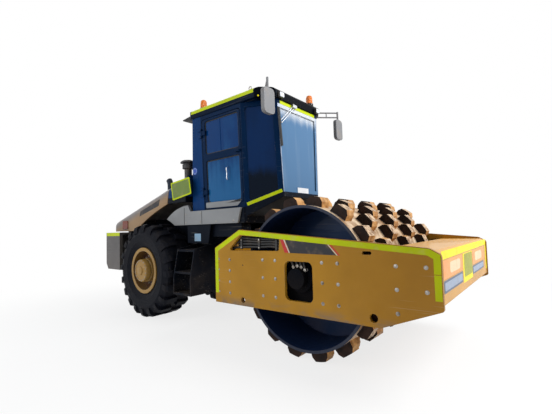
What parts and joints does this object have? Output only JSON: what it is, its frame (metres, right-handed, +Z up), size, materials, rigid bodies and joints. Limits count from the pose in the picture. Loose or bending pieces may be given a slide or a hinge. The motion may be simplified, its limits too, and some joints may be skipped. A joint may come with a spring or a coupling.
{
  "type": "road roller",
  "caption": "Single drum padfoot road roller with an articulated frame, a closed glazed cab, a sloping rear hood and large rear tyres, for compacting soil",
  "frame": {"origin": "on the floor under the steering pin, halfway along the machine", "axes": "+X forward to the drum, +Y to the left, +Z up"},
  "size_m": [6, 2.34, 3.435],
  "materials": {
    "body_paint": "ochre yellow paint, worn and dusty",
    "frame_paint": "black chassis paint with dried mud",
    "drum_steel": "bare worn steel with dry soil",
    "core_paint": "dark paint inside the drum",
    "chrome": "hard chrome piston rod",
    "grey_paint": "grey paint",
    "cab_paint": "glossy near-black navy paint",
    "glass": "tinted safety glass",
    "seat_fabric": "dark woven seat cover",
    "black_plastic": "matte black plastic",
    "beacon_plastic": "orange lens",
    "lamp_plastic": "clear white lamp",
    "mirror_plastic": "light grey shell",
    "exhaust_steel": "heat tinted steel",
    "tail_plastic": "red lens",
    "tyre": "black rubber, dusty"
  },
  "bodies": {
    "chassis": {"rear_frame": "frame_paint", "rear_axle": "frame_paint", "engine": "frame_paint", "counterweight": "grey_paint", "cowl": "cab_paint", "steps": "frame_paint", "cab_floor": "frame_paint", "cab_skirts": "grey_paint", "cab_rear": "cab_paint", "cab_sides": "cab_paint", "cab_front": "cab_paint", "cab_roof": "cab_paint", "windscreen": "glass", "quarter_glass": "glass", "rear_glass": "glass", "seat": "seat_fabric", "console": "black_plastic", "beacons": "beacon_plastic", "work_lamps": "lamp_plastic", "wipers": "black_plastic", "mirrors": "mirror_plastic", "air_cleaner": "black_plastic"},
    "hitch_body": {"hitch": "body_paint"},
    "drum_frame": {"side_plates": "body_paint", "front_beam": "body_paint", "rear_beam": "body_paint", "drum_supports": "frame_paint", "drum_motor": "frame_paint"},
    "drum_body": {"drum": "drum_steel", "drum_core": "core_paint"},
    "barrel_right": {"cylinder_right": "frame_paint"},
    "barrel_left": {"cylinder_left": "frame_paint"},
    "piston_right": {"rod_right": "chrome"},
    "piston_left": {"rod_left": "chrome"},
    "hood_body": {"hood": "body_paint", "exhaust": "exhaust_steel", "tail_lamps": "tail_plastic"},
    "door_right_body": {"door_right": "cab_paint", "door_glass_right": "glass"},
    "door_left_body": {"door_left": "cab_paint", "door_glass_left": "glass"},
    "wheel_right": {"rim_right": "body_paint", "tyre_right": "tyre"},
    "wheel_left": {"rim_left": "body_paint", "tyre_left": "tyre"}
  },
  "joints": [
    {"name": "steer", "type": "hinge", "parent": "chassis", "child": "hitch_body", "pos_m": [0, 0, 0.82], "axis": [0, 0, 1], "range_deg": [-33, 33]},
    {"name": "rock", "type": "hinge", "parent": "hitch_body", "child": "drum_frame", "pos_m": [0.5, 0, 0.82], "axis": [1, 0, 0], "range_deg": [-10, 10]},
    {"name": "drum_turn", "type": "hinge", "parent": "drum_frame", "child": "drum_body", "pos_m": [1.6, 0, 0.865], "axis": [0, 1, 0], "continuous": true},
    {"name": "barrel_right_swing", "type": "hinge", "parent": "chassis", "child": "barrel_right", "pos_m": [-0.6, -0.26, 0.765], "axis": [0, 0, 1], "range_deg": [-9, 9]},
    {"name": "barrel_left_swing", "type": "hinge", "parent": "chassis", "child": "barrel_left", "pos_m": [-0.6, 0.26, 0.765], "axis": [0, 0, 1], "range_deg": [-9, 9]},
    {"name": "piston_right_slide", "type": "slide", "parent": "barrel_right", "child": "piston_right", "axis": [0.9997, -0.0256, 0], "range_m": [-0.16, 0.16]},
    {"name": "piston_left_slide", "type": "slide", "parent": "barrel_left", "child": "piston_left", "axis": [0.9997, 0.0256, 0], "range_m": [-0.16, 0.16]},
    {"name": "hood_open", "type": "hinge", "parent": "chassis", "child": "hood_body", "pos_m": [-1.16, 0, 2.168], "axis": [0, 1, 0], "range_deg": [0, 55]},
    {"name": "door_right_open", "type": "hinge", "parent": "chassis", "child": "door_right_body", "pos_m": [-0.4, -0.7101, 2.385], "axis": [0, 0.0347, -0.9994], "range_deg": [0, 100]},
    {"name": "door_left_open", "type": "hinge", "parent": "chassis", "child": "door_left_body", "pos_m": [-0.4, 0.7101, 2.385], "axis": [0, 0.0347, 0.9994], "range_deg": [0, 100]},
    {"name": "wheel_right_turn", "type": "hinge", "parent": "chassis", "child": "wheel_right", "pos_m": [-1.6, -0.77, 0.76], "axis": [0, 1, 0], "continuous": true},
    {"name": "wheel_left_turn", "type": "hinge", "parent": "chassis", "child": "wheel_left", "pos_m": [-1.6, 0.77, 0.76], "axis": [0, 1, 0], "continuous": true}
  ],
  "couplings": [
    {"joint": "barrel_right_swing", "follows": "steer", "ratio": 0.228},
    {"joint": "barrel_left_swing", "follows": "steer", "ratio": 0.228},
    {"joint": "piston_right_slide", "follows": "steer", "m_per_rad": 0.2704},
    {"joint": "piston_left_slide", "follows": "steer", "m_per_rad": -0.2704}
  ]
}
